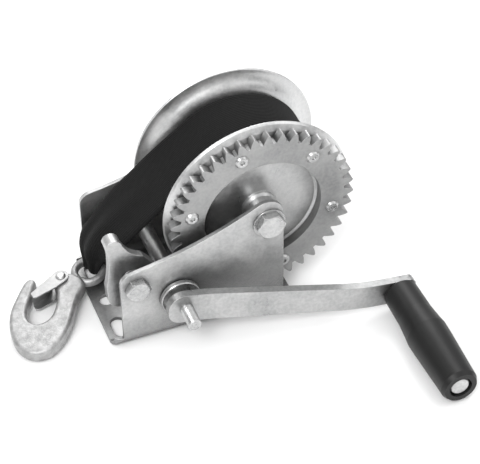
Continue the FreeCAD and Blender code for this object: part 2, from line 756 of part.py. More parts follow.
def make_strap_roll():
    """Webbing wound solid on the core, with the anchor bolt through it."""
    add_cell("roll_length", 2 * value("strap_half_width"), "webbing width")
    ring = tube("strap_roll_ring", "roll_radius", "core_radius", "roll_length")
    hole = cylinder("strap_roll_anchor", "anchor_radius", "roll_length")
    hole.Placement.Base = FreeCAD.Vector(value("anchor_x"), -value("anchor_z"), 0)
    roll = cut("strap_roll", ring, hole)
    add_cell("strap_near_y", value("strap_middle_y") - value("strap_half_width"), "webbing, near edge")
    place(roll, "drum_x", "strap_near_y", "drum_z", ALONG_Y)
    return roll


def make_strap_anchor():
    """The bolt across the drum that holds the webbing's inner end, and its nut."""
    grip = value("far_flange_face_y") - value("near_flange_face_y")
    add_cell("anchor_length", grip + value("anchor_head") + 1, "strap anchor bolt under its head")
    bolt = hex_bolt("strap_anchor_bolt", "anchor_flats", "anchor_head", "anchor_radius", "anchor_length")
    add_cell("anchor_bolt_x", value("drum_x") + value("anchor_x"), "strap anchor bolt at rest")
    add_cell("anchor_bolt_z", value("drum_z") + value("anchor_z"), "strap anchor bolt at rest")
    place(bolt, "anchor_bolt_x", "near_flange_face_y", "anchor_bolt_z", FreeCAD.Rotation(X_AXIS, 90))
    nut = hex_nut("strap_anchor_nut", "anchor_flats", "anchor_head", "anchor_radius")
    place(nut, "anchor_bolt_x", "far_flange_face_y", "anchor_bolt_z", ALONG_Y)
    return [bolt, nut]


# --------------------------------------------------------- pinion and crank


def make_pinion():
    body = toothed_body("pinion", "pinion", "pinion_teeth", "pinion_thickness", "shaft_radius")
    place(body, "pinion_x", "pinion_front_y", "pinion_z", around_y(-value("pinion_turn")))
    return body


def make_crank_shaft():
    """Shaft through both plates, stepped down and threaded where the arm goes on."""
    add_cell("clip_groove", value("shaft_radius") - 0.8, "retaining ring groove")
    clip_near, clip_far = value("channel_half_width") + 0.3, value("channel_half_width") + 1.5
    profile = [(0, "stub_end_y"), ("thread_root", "stub_end_y")]
    position = value("stub_end_y")
    while position + value("thread_pitch") < value("thread_start_y"):
        profile.append(("stub_radius", position + value("thread_pitch") / 2))
        position += value("thread_pitch")
        profile.append(("thread_root", position))
    profile += [
        ("stub_radius", "thread_start_y"),
        ("stub_radius", "arm_inner_y"),
        ("shaft_radius", "arm_inner_y"),
        ("shaft_radius", clip_near),
        ("clip_groove", clip_near),
        ("clip_groove", clip_far),
        ("shaft_radius", clip_far),
        ("shaft_radius", "shaft_far_end"),
        (0, "shaft_far_end"),
    ]
    shaft = turned("crank_shaft", profile)
    place(shaft, "pinion_x", 0, "pinion_z")
    add_cell("clip_y", clip_near, "retaining ring, near face")
    add_cell("clip_height", clip_far - clip_near, "retaining ring")
    add_cell("clip_radius", value("shaft_radius") + 3.4, "retaining ring")
    clip = tube("shaft_retaining_ring", "clip_radius", "clip_groove", "clip_height")
    place(clip, "pinion_x", "clip_y", "pinion_z", ALONG_Y)
    return [shaft, clip]


def make_crank_washers():
    """The cup washer against the side plate and the spacer it sits on."""
    add_cell("spacer_radius", value("shaft_radius") + 3, "crank spacer")
    add_cell("spacer_length", -0.2 - value("arm_inner_y") + value("near_face_y"), "crank spacer")
    spacer = tube("crank_spacer", "spacer_radius", "shaft_radius", "spacer_length")
    place(spacer, "pinion_x", "arm_inner_y", "pinion_z", ALONG_Y)
    cup = turned("crank_cup_washer", ring_profile("cup", [
        (value("spacer_radius"), -47.2), (13.2, -47.2), (14.6, -48.4), (14.6, -51.4), (14, -52.2),
        (13.2, -51.4), (13.2, -48.9), (value("spacer_radius"), -48.9)]))
    place(cup, "pinion_x", 0, "pinion_z")
    return [spacer, cup]


def make_crank_arm():
    """A flat bar, stepped outwards by two soft bends and tapered towards the grip."""
    add_cell("arm_tip", value("arm_length") + value("arm_overhang"), "crank arm, far end")
    add_cell("arm_face_y", value("arm_inner_y") - value("arm_thickness"), "crank arm, hub's outer face")
    add_cell("arm_outer_y", value("arm_face_y") - value("arm_offset"), "crank arm, outer face at the grip")
    add_cell("arm_back_y", value("arm_outer_y") + value("arm_thickness"), "crank arm, inner face at the grip")
    body = new_body("crank_arm")
    plan = new_sketch(body, "arm_plan", "XY_Plane")
    draw_outline(plan, [
        ("-arm_back", "arm_face_y"),
        ("arm_first_bend", "arm_face_y"),
        ("arm_second_bend", "arm_outer_y"),
        ("arm_tip", "arm_outer_y"),
        ("arm_tip", "arm_back_y"),
        ("arm_second_bend", "arm_back_y"),
        ("arm_first_bend", "arm_inner_y"),
        ("-arm_back", "arm_inner_y"),
    ])
    add_cell("arm_width", 2 * value("arm_hub_half_width"), "crank arm, bar width")
    pad(body, plan, "arm_width", midplane=True)
    bends = [("arm_first_bend", "arm_face_y"), ("arm_first_bend", "arm_inner_y"),
             ("arm_second_bend", "arm_outer_y"), ("arm_second_bend", "arm_back_y")]

    def at_bend(edge):
        first, last = edge.Vertexes[0].Point, edge.Vertexes[-1].Point
        return abs(first.z - last.z) > 1 and any(
            math.hypot(first.x - value(x), first.y - value(y)) < 1e-3 for x, y in bends)

    round_edges(body, "arm_bends", at_bend, "arm_bend_radius")
    shape_arm_outline(body)
    place(body, "pinion_x", 0, "pinion_z", around_y(value("crank_angle")))
    return body


def shape_arm_outline(body):
    """Tapers the bar, rounds its corners and drills it for the shaft and the rivet."""
    hub, tip, corner = value("arm_hub_half_width"), value("arm_tip_half_width"), value("arm_corner")
    round_hub, curve = value("arm_hub_corner"), 1 - math.sqrt(0.5)
    back, end, soft, hub_soft = value("arm_back"), value("arm_tip"), corner * curve, round_hub * curve
    side = new_sketch(body, "arm_side", "XZ_Plane")
    draw_outline(side, [
        (-back, hub - round_hub, (-back + hub_soft, hub - hub_soft)),
        (-back + round_hub, hub),
        ("arm_second_bend", tip),
        (end - corner, tip, (end - soft, tip - soft)),
        (end, tip - corner),
        (end, corner - tip, (end - soft, soft - tip)),
        (end - corner, -tip),
        ("arm_second_bend", -tip),
        (-back + round_hub, -hub, (-back + hub_soft, hub_soft - hub)),
        (-back, round_hub - hub),
    ])
    border = value("arm_width")
    draw_outline(side, [(-back - border, -border), (end + border, -border),
                        (end + border, border), (-back - border, border)])
    pocket_through(body, side)
    bores = new_sketch(body, "arm_bores", "XZ_Plane")
    draw_circle(bores, (0, 0), "stub_radius")
    draw_circle(bores, ("arm_length", 0), "grip_pin")
    pocket_through(body, bores)


def make_grip():
    """The turning grip, the rivet it turns on and the washer behind it."""
    add_cell("grip_start_y", value("arm_outer_y") - value("grip_washer_height"), "grip, end at the arm")
    add_cell("grip_end_y", value("grip_start_y") - value("grip_length"), "grip, free end")
    washer = tube("grip_washer", "grip_washer_radius", "grip_pin", "grip_washer_height")
    place(washer, "grip_x", "grip_start_y", "grip_z", ALONG_Y)
    add_cell("grip_bore", value("grip_pin") + value("bearing_gap"), "grip bore")
    start, end = value("grip_start_y"), value("grip_end_y")
    floor = end + value("grip_recess_depth")
    grip = turned("crank_grip", ring_profile("grip", [
        (value("grip_bore"), start), (12.2, start), (12.9, start - 0.8), (13.4, start - 26),
        (14.6, start - 38), (15.5, start - 45), (15.3, start - 56), (14.2, start - 84), (13.8, end + 3.4), (12.2, end),
        (value("grip_recess"), end), (value("grip_recess"), floor), (value("grip_bore"), floor)]))
    place(grip, "grip_x", 0, "grip_z")
    disc = floor - 0.2
    rivet = turned("grip_rivet", ring_profile("grip_rivet", [
        (value("grip_disc") - 0.8, disc - 2.2), (value("grip_disc"), disc - 1.4), (value("grip_disc"), disc),
        (value("grip_pin"), disc), (value("grip_pin"), value("arm_back_y")),
        (value("grip_pin_head"), value("arm_back_y")),
        (value("grip_pin_head") - 1, value("arm_back_y") + value("grip_pin_head_height"))])
        + [(0, value("arm_back_y") + value("grip_pin_head_height")), (0, disc - 2.2)])
    place(rivet, "grip_x", 0, "grip_z")
    return [washer, grip, rivet]


# ---------------------------------------------------------------------- pawl


# Outlines about the pawl bolt: (along X, up), with the middle of an arc as a third entry.
PAWL_OUTLINE = [
    (-17.4, 33, (-15.4, 37.2)),
    (-11.2, 38.6, (-7.2, 36.6)),
    (-5.4, 32.8),
    (-1.6, 26, (2.6, 21.6)),
    (9.2, 17.8, (15.2, 10.2)),
    (19.9, 1.6),
    (18.2, -0.4, (9.4, -6.8)),
    (1, -26.3),
    (-9.6, -25.6, (-15.4, -22.4)),
    (-18.2, -16),
    (-18.8, -4, (-16.2, 12)),
    (-16, 26),
]
PAWL_TAB_OUTLINE = [
    (-17.4, 33, (-15.4, 37.2)),
    (-11.2, 38.6, (-7.2, 36.6)),
    (-5.4, 32.8),
]


def make_pawl():
    """A two-way pawl: one dog above the pinion, one below, and a thumb tab bent off its stem."""
    body = new_body("pawl")
    plate = new_sketch(body, "pawl_plate", "XZ_Plane")
    draw_outline(plate, PAWL_OUTLINE)
    bore = draw_circle(plate, (0, 0), "pawl_bore")
    pad(body, bore, "pawl_thickness", reversed_way=True)
    tab = new_sketch(body, "pawl_tab", "XZ_Plane")
    draw_outline(tab, PAWL_TAB_OUTLINE)
    pad(body, tab, "pawl_tab_reach", reversed_way=True)
    place(body, "pawl_x", "pawl_front_y", "pawl_z")
    return body


def make_pawl_fastening():
    """The bolt the pawl rocks on, its spacer, nut and spring."""
    add_cell("pawl_back_y", value("pawl_front_y") + value("pawl_thickness"), "pawl, far face")
    add_cell("pawl_nut_y", value("pawl_back_y") + 0.3, "pawl nut, near face")
    length = value("pawl_nut_y") + value("pawl_nut_height") + 1 - value("near_face_y")
    add_cell("pawl_bolt_length", length, "pawl bolt under its head")
    bolt = hex_bolt("pawl_bolt", "pawl_hex_flats", "pawl_head_height", "pawl_bolt_radius", "pawl_bolt_length")
    place(bolt, "pawl_x", "near_face_y", "pawl_z", FreeCAD.Rotation(X_AXIS, 90))
    nut = hex_nut("pawl_nut", "pawl_hex_flats", "pawl_nut_height", "pawl_bolt_radius")
    place(nut, "pawl_x", "pawl_nut_y", "pawl_z", ALONG_Y)
    add_cell("pawl_spacer_length", value("pawl_front_y") - 0.2 + value("inside_y"), "pawl spacer")
    spacer = tube("pawl_spacer", "pawl_spacer_radius", "pawl_bolt_radius", "pawl_spacer_length")
    place(spacer, "pawl_x", "-inside_y", "pawl_z", ALONG_Y)
    return [bolt, nut, spacer, make_pawl_spring()]


def make_pawl_spring():
    """Turns of wire round the spacer, with a straight leg at each end."""
    turns = value("spring_turns")
    helix = DOC.addObject("Part::Helix", "pawl_spring_path")
    bind(helix, Pitch="spring_pitch", Radius="spring_coil")
    helix.Height = value("spring_pitch") * turns
    section = DOC.addObject("Part::Circle", "pawl_spring_section")
    bind(section, Radius="spring_wire")
    section.Placement = FreeCAD.Placement(
        FreeCAD.Vector(value("spring_coil"), 0, 0), FreeCAD.Rotation(X_AXIS, 90))
    coil = DOC.addObject("Part::Sweep", "pawl_spring_coil")
    coil.Sections = [section]
    coil.Spine = helix
    coil.Solid = True
    coil.Frenet = True
    legs = []
    for height, way in ((0, 1), (value("spring_pitch") * turns, -1)):
        leg = DOC.addObject("Part::Cylinder", "pawl_spring_leg")
        bind(leg, Radius="spring_wire", Height="spring_leg")
        leg.Placement = FreeCAD.Placement(
            FreeCAD.Vector(value("spring_coil"), 0, height), FreeCAD.Rotation(X_AXIS, 90 * way))
        legs.append(leg)
    spring = fuse("pawl_spring", [coil] + legs)
    add_cell("spring_y", -value("inside_y") + 0.95, "pawl spring, near end")
    place(spring, "pawl_x", "spring_y", "pawl_z", FreeCAD.Rotation(Y_AXIS, -25).multiply(ALONG_Y))
    return spring


# ---------------------------------------------------------- hook and webbing


def hook_rotation():
    """The hook's own X runs from the eye to the bow, lying down towards the ground."""
    heading = FreeCAD.Rotation(Z_AXIS, value("hook_heading"))
    return heading.multiply(FreeCAD.Rotation(Y_AXIS, value("hook_droop")))


def eye_offset():
    """Distance from the rod in the webbing loop to the middle of the eye."""
    return (value("eye_outer") + value("eye_inner")) / 2


# The bow's smooth outline from the eye's middle: (along the hook, across it).
HOOK_OUTLINE = [
    (9.6, 0), (10.4, -5.5), (13.4, -11.2), (18.6, -14.6), (24, -13.2), (28.2, -7.4), (34, -0.6),
    (43.5, 5.4), (53, 7.8), (60.2, 4.6), (62.2, -2), (58.4, -8.8), (50, -14), (41, -18.6),
    (35.4, -21.6), (32.4, -23.2), (31.2, -26), (32.5, -28.7), (35.6, -29.6), (42, -28.4),
    (52, -24.8), (62, -20.6), (73, -12.4), (82, -0.6), (85.6, 10.6), (82.6, 21.6), (74, 28),
    (62, 28), (47, 23.4), (33, 16), (22, 11), (14.6, 8.8), (10.8, 5.4),
]


def make_hook():
    """A forged hook: a round eye, a lug for the latch, and a deep bow ending in a blunt tip."""
    body = new_body("hook_bow")
    bow = new_sketch(body, "hook_outline", "XY_Plane")
    smooth = Part.BSplineCurve()
    shift = value("eye_offset")
    smooth.interpolate(Points=[flat((u + shift, v)) for u, v in HOOK_OUTLINE], PeriodicFlag=True)
    bow.addGeometry(smooth, False)
    add_cell("hook_thickness", 2 * value("hook_half_thickness"), "hook, full thickness")
    pad(body, bow, "hook_thickness", midplane=True)

    def rim(edge):
        return edge.BoundBox.ZLength < 1e-6

    round_edges(body, "hook_rounding", rim, "hook_edge")
    pin = cylinder("latch_pin_hole", "latch_pin", 2 * value("hook_thickness"), "-hook_thickness")
    pin.Placement.Base += FreeCAD.Vector(value("latch_u") + shift, value("latch_v"), 0)
    eye = make_hook_eye()
    DOC.recompute([body, eye, pin])
    # The document's own fuse drops the bow here, so the three shapes are joined directly.
    forging = DOC.addObject("Part::Feature", "hook")
    forging.Shape = body.Shape.fuse(eye.Shape).cut(pin.Shape)
    place(forging, "pivot_x", "pivot_y", "pivot_z", hook_rotation())
    return forging


def make_hook_eye():
    """The eye: a ring with rounded edges, turned about the hook's own Z."""
    inner, outer = value("eye_inner"), value("eye_outer")
    half, soft = value("eye_half_thickness"), value("eye_edge")
    bulge = soft * (1 - math.sqrt(0.5))
    eye = turned("hook_eye", [
        (inner + soft, -half),
        (outer - soft, -half, (outer - bulge, bulge - half)),
        (outer, soft - half),
        (outer, half - soft, (outer - bulge, half - bulge)),
        (outer - soft, half),
        (inner + soft, half, (inner + bulge, half - bulge)),
        (inner, half - soft),
        (inner, soft - half, (inner + bulge, bulge - half)),
    ])
    eye.Placement = FreeCAD.Placement(FreeCAD.Vector(value("eye_offset"), 0, 0), FreeCAD.Rotation(X_AXIS, 90))
    return eye


def latch_placement(thing):
    """Sets a piece made round the latch rivet into the hook's pose."""
    turn = hook_rotation()
    offset = FreeCAD.Vector(value("eye_offset") + value("latch_u"), value("latch_v"), 0)
    pivot = FreeCAD.Vector(value("pivot_x"), value("pivot_y"), value("pivot_z"))
    thing.Placement = FreeCAD.Placement(pivot + turn.multVec(offset), turn)
    return thing


def make_latch():
    """A sheet-metal latch: two cheeks astride the hook, joined by a web on the outer side."""
    lug, reach, tip = value("latch_lug"), value("latch_length"), value("latch_tip_half_width")
    inside, sheet = value("latch_inside"), value("latch_sheet")
    depth = 2 * (inside + sheet)
    body = new_body("latch")
    cheeks = new_sketch(body, "latch_outline", "XY_Plane")
    turn = math.radians(value("latch_angle"))

    def aim(x, y):
        return (x * math.cos(turn) - y * math.sin(turn), x * math.sin(turn) + y * math.cos(turn))

    draw_outline(cheeks, [
        aim(0, lug) + (aim(-lug, 0),),
        aim(0, -lug),
        aim(reach - 1.5, -lug + 0.9),
        aim(reach, 2 * tip - lug - 0.6),
        aim(reach - 2, 2 * tip - lug + 1.2),
        aim(lug * 1.6, lug * 0.9),
    ])
    draw_circle(cheeks, (0, 0), "latch_bore")
    pad(body, cheeks, depth, midplane=True)
    hollow = new_sketch(body, "latch_hollow", "XY_Plane")
    draw_outline(hollow, [
        aim(-2 * lug, -2 * lug),
        aim(lug + 1.2, -2 * lug),
        aim(lug + 1.2, -lug + sheet + 0.2),
        aim(reach + 5, -lug + 0.9 + sheet),
        aim(reach + 5, 3 * lug),
        aim(-2 * lug, 3 * lug),
    ])
    before = volume_of(body)
    feature = body.newObject("PartDesign::Pocket", "latch_channel")
    feature.Profile = hollow
    feature.SideType = "Symmetric"
    feature.Length = 2 * inside
    body.Tip = feature
    if volume_of(body) >= before:
        raise ValueError("the latch channel removed nothing")
    return latch_placement(body)


def make_latch_rivet():
    """A shank through the hook and both cheeks, with a low head at each end."""
    outside = value("latch_inside") + value("latch_sheet") + 0.1
    shank = cylinder("latch_rivet_shank", "latch_pin", 2 * outside, -outside)
    heads = []
    for way in (1, -1):
        head = DOC.addObject("Part::Cone", "latch_rivet_head")
        bind(head, Radius1="latch_pin_head", Height="latch_pin_rise")
        head.Radius2 = value("latch_pin_head") - 1.3
        head.Placement = FreeCAD.Placement(
            FreeCAD.Vector(0, 0, way * outside), FreeCAD.Rotation(X_AXIS, 0 if way > 0 else 180))
        heads.append(head)
    return latch_placement(fuse("latch_rivet", [shank] + heads))


def make_strap_tail():
    """The outer turn of webbing, the free length down to the hook, and the sewn loop in its end."""
    inner = value("roll_radius") + value("roll_gap")
    outer = inner + value("strap_thickness")
    wrap = 215
    add_cell("wrap_inner", inner, "outer turn, inside radius")
    add_cell("wrap_outer", outer, "outer turn, outside radius")
    band = cylinder("strap_outer_turn_body", "wrap_outer", "roll_length")
    band.Angle = wrap
    core = cylinder("strap_outer_turn_bore", "wrap_inner", "roll_length")
    turn = cut("strap_outer_turn", band, core)
    start = -value("tail_angle")
    spin = FreeCAD.Rotation(Y_AXIS, start).multiply(ALONG_Y)
    place(turn, "drum_x", "strap_near_y", "drum_z", spin)
    run = DOC.addObject("Part::Loft", "strap_run")
    run.Sections = [tail_section(i, *row) for i, row in enumerate(tail_stations())]
    run.Solid = True
    run.Ruled = True
    loop_body = cylinder("strap_loop_body", "loop_outer", "loop_width")
    loop_hole = cylinder("strap_loop_hole", "loop_inner", "loop_width")
    ring = cut("strap_loop", loop_body, loop_hole)
    across = FreeCAD.Rotation(Z_AXIS, value("hook_heading")).multiply(FreeCAD.Rotation(X_AXIS, 90))
    pivot = FreeCAD.Vector(value("pivot_x"), value("pivot_y"), value("pivot_z"))
    ring.Placement = FreeCAD.Placement(
        pivot - across.multVec(Z_AXIS) * (value("loop_width") / 2), across)
    return fuse("strap_tail", [turn, run, ring])


def tail_stations():
    """Middle of the webbing (x, y, z), its width, thickness, twist about Z and slope, from drum to loop."""
    middle = (value("wrap_inner") + value("wrap_outer")) / 2
    angle = math.radians(value("tail_angle"))
    first = (value("drum_x") + middle * math.cos(angle), value("strap_middle_y"),
             value("drum_z") + middle * math.sin(angle))
    width, sheet = 2 * value("strap_half_width"), value("strap_thickness")
    return [
        (first, width, sheet, 0, value("tail_angle") - 90),
        ((-9.5, 4, 106.8), width, sheet, 0, 42),
        ((-26.5, 5, 92.2), width - 0.6, sheet, 0, 43),
        ((-40.5, 8, 77.8), width - 4, sheet, 4, 50),
        ((-50.4, 13, 62.8), 39, sheet + 0.3, 10, 61),
        ((-56.4, 19, 46.8), 30, sheet + 1, 18, 74),
        ((-58.6, 24, 32), 21, sheet + 2.6, 26, 86),
        ((-57.6, 26.3, 22.6), 12.5, sheet + 3.4, 30.5, 96),
    ]


def tail_section(number, centre, width, thickness, twist, slope):
    """A rectangle across the webbing."""
    section = DOC.addObject("Part::Plane", "strap_section_%d" % number)
    section.Length = thickness
    section.Width = width
    turn = FreeCAD.Rotation(Z_AXIS, twist).multiply(FreeCAD.Rotation(Y_AXIS, 90 - slope))
    corner = turn.multVec(FreeCAD.Vector(thickness / 2, width / 2, 0))
    section.Placement = FreeCAD.Placement(FreeCAD.Vector(*centre) - corner, turn)
    return section


# ------------------------------------------------------------------ assembly


def add_derived_cells():
    """Positions that follow from the driving dimensions."""
    spacing = (value("gear_teeth") + value("pinion_teeth")) * value("gear_module") / 2
    drop = value("drum_z") - value("pinion_z")
    add_cell("pinion_x", value("drum_x") - math.sqrt(spacing ** 2 - drop ** 2), "pinion axis")
    toward_pinion = math.degrees(math.atan2(-drop, value("pinion_x") - value("drum_x")))
    add_cell("gear_turn", gear_turn(toward_pinion), "ring gear, turn that puts a tooth gap at the pinion")
    add_cell("pinion_turn", toward_pinion + 180 - 90 + 180 / value("pinion_teeth"),
             "pinion, turn that puts a tooth at the gear")
    angle = math.radians(value("anchor_angle"))
    add_cell("anchor_x", value("anchor_offset") * math.cos(angle), "strap anchor bolt from the drum axis")
    add_cell("anchor_z", value("anchor_offset") * math.sin(angle), "strap anchor bolt from the drum axis")
    reach, fall = value("grip_x") - value("pinion_x"), value("pinion_z") - value("grip_z")
    add_cell("arm_length", math.hypot(reach, fall), "crank arm, shaft to grip")
    add_cell("crank_angle", math.degrees(math.atan2(fall, reach)), "crank arm, slope down at rest")
    add_cell("pawl_bore", value("pawl_bolt_radius") + value("bearing_gap"), "pawl bore")
    add_cell("latch_bore", value("latch_pin") + value("bearing_gap"), "latch bore")
    add_cell("eye_offset", eye_offset(), "loop rod to the middle of the eye")
    heading = math.radians(value("hook_heading"))
    add_cell("pivot_x", value("eye_x") - eye_offset() * math.cos(heading), "loop rod, middle")
    add_cell("pivot_y", value("eye_y") - eye_offset() * math.sin(heading), "loop rod, middle")
    add_cell("tail_angle", 135, "where the webbing leaves the roll, from +X")


def gear_turn(toward_pinion):
    """The smallest turn of the gear, whose first gap points along +Z, that aims a gap at the pinion."""
    step = 360 / value("gear_teeth")
    return (toward_pinion - 90) % step


def check_and_export(pieces):
    DOC.recompute()
    for thing in DOC.Objects:
        if any(word in thing.State for word in ("Invalid", "Error")):
            raise ValueError("%s is in state %s" % (thing.Name, thing.State))
    for piece in pieces:
        shape = piece.Shape
        if shape.isNull() or not shape.isValid() or not shape.Solids:
            raise ValueError(piece.Label + " has no valid solid")
    os.makedirs("parts", exist_ok=True)
    for piece in pieces:
        piece.Shape.exportStep("parts/%s.step" % piece.Label)
        bounds = piece.Shape.BoundBox
        print("%-22s solids %d  volume %9.1f  x %7.1f..%7.1f  y %7.1f..%7.1f  z %7.1f..%7.1f" % (
            piece.Label, len(piece.Shape.Solids), piece.Shape.Volume,
            bounds.XMin, bounds.XMax, bounds.YMin, bounds.YMax, bounds.ZMin, bounds.ZMax))


def main():
    for row in DIMENSIONS:
        add_cell(*row)
    add_derived_cells()
    DOC.recompute()
    pieces = [make_channel()]
    pieces += make_axle() + make_shaft_bushes()
    pieces += make_flanges() + make_drum_core() + make_ring_gear()
    pieces += [make_strap_roll()] + make_strap_anchor()
    pieces += [make_pinion()] + make_crank_shaft() + make_crank_washers() + [make_crank_arm()] + make_grip()
    pieces += [make_pawl()] + make_pawl_fastening()
    pieces += [make_hook(), make_latch(), make_latch_rivet(), make_strap_tail()]
    check_and_export(pieces)


main()
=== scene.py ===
"""Looks of the boat trailer winch: plated steel, black webbing and a moulded grip.

Everything is in metres, in the CAD frame: +X away from the hook, +Y towards the far side plate, +Z up,
with the origin in the middle of the base's underside.
"""

import json
import math

import bpy
from mathutils import Matrix, Vector


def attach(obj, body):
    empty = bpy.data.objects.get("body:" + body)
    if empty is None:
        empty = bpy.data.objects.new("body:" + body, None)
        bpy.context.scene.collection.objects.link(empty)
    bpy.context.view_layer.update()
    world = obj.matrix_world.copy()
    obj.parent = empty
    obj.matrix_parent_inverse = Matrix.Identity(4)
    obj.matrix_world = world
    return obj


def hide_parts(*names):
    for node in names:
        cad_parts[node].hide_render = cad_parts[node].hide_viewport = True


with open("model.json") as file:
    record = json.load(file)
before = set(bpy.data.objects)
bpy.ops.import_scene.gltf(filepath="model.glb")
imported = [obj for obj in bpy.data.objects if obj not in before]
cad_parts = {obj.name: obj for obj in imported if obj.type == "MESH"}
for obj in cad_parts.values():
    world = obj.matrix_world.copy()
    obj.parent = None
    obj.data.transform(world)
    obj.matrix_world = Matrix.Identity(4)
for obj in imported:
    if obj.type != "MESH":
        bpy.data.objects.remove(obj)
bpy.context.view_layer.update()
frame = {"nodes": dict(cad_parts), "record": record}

MM = 0.001
UP = Vector((0, 0, 1))
ACROSS_DRUM = Vector((0, 1, 0))

# Webbing, in millimetres. The drum and loop sizes repeat the part's own dimensions.
DRUM_AXIS = Vector((50.5, 4, 83))
WEBBING_WIDTH = 50
WEBBING_THICKNESS = 2.3
CORE_RADIUS = 20.2
ROLL_RADIUS = 54
OUTER_TURN_RADIUS = 55.5
TURN_START = -80  # degrees from +X, where the outer turn lifts off the roll
TURN_END = 135  # degrees from +X, where the webbing leaves the drum
LAYER_PITCH = 2.42

DRUM_STEPS = 60  # stations in a turn of the roll, and in the outer turn
TAIL_COLUMNS = 20  # divisions across the free webbing
ROLL_COLUMNS = 2  # divisions across the flat wound webbing
ROW_STEPS = 8  # stations between two control rows

# The free length: middle (x, y, z), width, depth of its folds, how far its edges curl back, turn about Z.
RUN_STATIONS = [
    ((-9.5, 4, 106.8), 50, 0.0, 0.0, 0),
    ((-26.5, 5, 92.2), 50, 0.2, 0.8, 0),
    ((-41.5, 8, 77.8), 48, 0.5, 2.5, 4),
    ((-52.4, 13, 62.8), 41, 1.0, 5.0, 10),
    ((-60.0, 17.6, 48.0), 35, 1.8, 7.5, 18),
    ((-63.8, 22.6, 31.5), 29, 1.8, 6.5, 26),
]
LOOP_MIDDLE = Vector((-56.45, 26.63, 15.5))
LOOP_HEADING = Vector((-0.8616, -0.5075, 0))
LOOP_RADIUS = 7.6
LOOP_TURN = 30.5  # degrees about Z
LOOP_WIDTH = 15.5
# The sewn end, back up behind the free length.
LAP_STATIONS = [
    ((-50.6, 29.2, 26.0), 13, 1.0, 1.0, 30.5),
    ((-51.4, 26.0, 38.0), 18, 1.0, 2.5, 24),
    ((-49.0, 20.0, 50.0), 24, 0.8, 3.5, 16),
]

# How each plated steel slot looks, with how dark and how far out the painted shade in its corners and
# recesses goes: see plated_steel.
EVEN = (1, 1, 1)  # noise not drawn out any way
ROLLED = (0.06, 1, 1)  # grain drawn out along +X
STEELS = {
    "zinc_frame": {"tone": 0.56, "roughness": 0.42, "grain": ROLLED, "cloud": 0.18, "shade_darkest": 0.2,
                   "recess": 0.04},
    "zinc_drum": {"tone": 0.66, "roughness": 0.36, "cloud": 0.14, "shade_darkest": 0.5},
    "gear_steel": {"tone": 0.38, "roughness": 0.45, "cloud": 0.18, "shade_darkest": 0.55},
    "zinc_crank": {"tone": 0.48, "roughness": 0.36, "grain": ROLLED, "cloud": 0.22},
    "pawl_steel": {"tone": 0.52, "roughness": 0.4, "edge": 0.0012, "cloud": 0.2},
    "latch_sheet": {"tone": 0.46, "roughness": 0.36, "cloud": 0.18},
    "spring_steel": {"tone": 0.25, "roughness": 0.35},
    "hardware": {"tone": 0.54, "roughness": 0.32, "edge": 0.0008, "cloud": 0.26},
}

# Camera, from the same fit as the part's dimensions.
CAMERA_TARGET = Vector((0.04103, -0.0362, 0.07452))
CAMERA_BACK = Vector((-0.2626, -0.6761, 0.6884))
CAMERA_UP = Vector((0.2606, 0.6372, 0.7253))
CAMERA_DISTANCE = 1.422
CAMERA_LENS = 150
CAMERA_SHIFT = (-0.0227, -0.0154)
SENSOR_WIDTH = 36

# Stage, in metres. The floor lies just under the base, so the two faces don't fight.
FLOOR_HALF_SIDE = 6.0
FLOOR_LEVEL = -0.0004
# Soft lights: where each hangs, the side of its square and its power in watts.
LIGHTS = {
    "key": ((-0.7, -0.9, 1.3), 0.6, 15),
    "fill": ((1.2, -0.5, 0.9), 0.9, 3),
    "back": ((0.5, 1.2, 1.3), 0.7, 12),
}
HORIZON_LEVEL = 0.22
OVERHEAD_LEVEL = 1.1
OVERHEAD_HEIGHT = 0.8  # how far up, from 0 at the horizon to 1, the sky reaches its full brightness


# ------------------------------------------------------------- shader helpers


def start_material(name):
    """A material with one principled shader; returns the material, its nodes and the shader."""
    material = bpy.data.materials.new(name)
    material.use_nodes = True
    tree = material.node_tree
    return material, tree, tree.nodes["Principled BSDF"]


def feed(tree, socket, source):
    """Links a socket to another, or sets it to a plain value."""
    if isinstance(source, bpy.types.NodeSocket):
        tree.links.new(source, socket)
    else:
        socket.default_value = source


def add(tree, kind, inputs=None, **settings):
    """A node with its settings made and its inputs fed."""
    node = tree.nodes.new(kind)
    for key, setting in settings.items():
        setattr(node, key, setting)
    for key, source in (inputs or {}).items():
        feed(tree, node.inputs[key], source)
    return node


def math_node(tree, operation, first, second=0.0):
    """One sum on two values or sockets."""
    return add(tree, "ShaderNodeMath", {0: first, 1: second}, operation=operation).outputs[0]


def spread(tree, factor, low, high):
    """A 0 to 1 factor spread over a range."""
    inputs = {"Value": factor, "To Min": low, "To Max": high}
    return add(tree, "ShaderNodeMapRange", inputs).outputs["Result"]


def scaled_noise(tree, stretch, scale, detail=4.0):
    """Noise in the piece's own coordinates, stretched by a vector."""
    place = add(tree, "ShaderNodeTexCoord").outputs["Object"]
    mapped = add(tree, "ShaderNodeMapping", {"Vector": place, "Scale": stretch}).outputs[0]
    inputs = {"Vector": mapped, "Scale": scale, "Detail": detail, "Roughness": 0.6}
    return add(tree, "ShaderNodeTexNoise", inputs).outputs["Fac"]


def contrast(tree, factor, softest=0.36, hardest=0.64):
    """Noise sits near its middle, so this stretches it to fill 0 to 1."""
    inputs = {"Value": factor, "From Min": softest, "From Max": hardest}
    return add(tree, "ShaderNodeMapRange", inputs).outputs["Result"]


def mix_colours(tree, factor, low, high):
    """A blend of two colours, each a socket or four plain numbers."""
    node = tree.nodes.new("ShaderNodeMix")
    node.data_type = "RGBA"
    for socket, source in ((0, factor), (6, low), (7, high)):
        feed(tree, node.inputs[socket], source)
    return node.outputs[2]


def grey(tone, tint=(1.0, 1.0, 1.0)):
    """A four-number colour of one tone."""
    return (*(min(1.0, tone * part) for part in tint), 1)


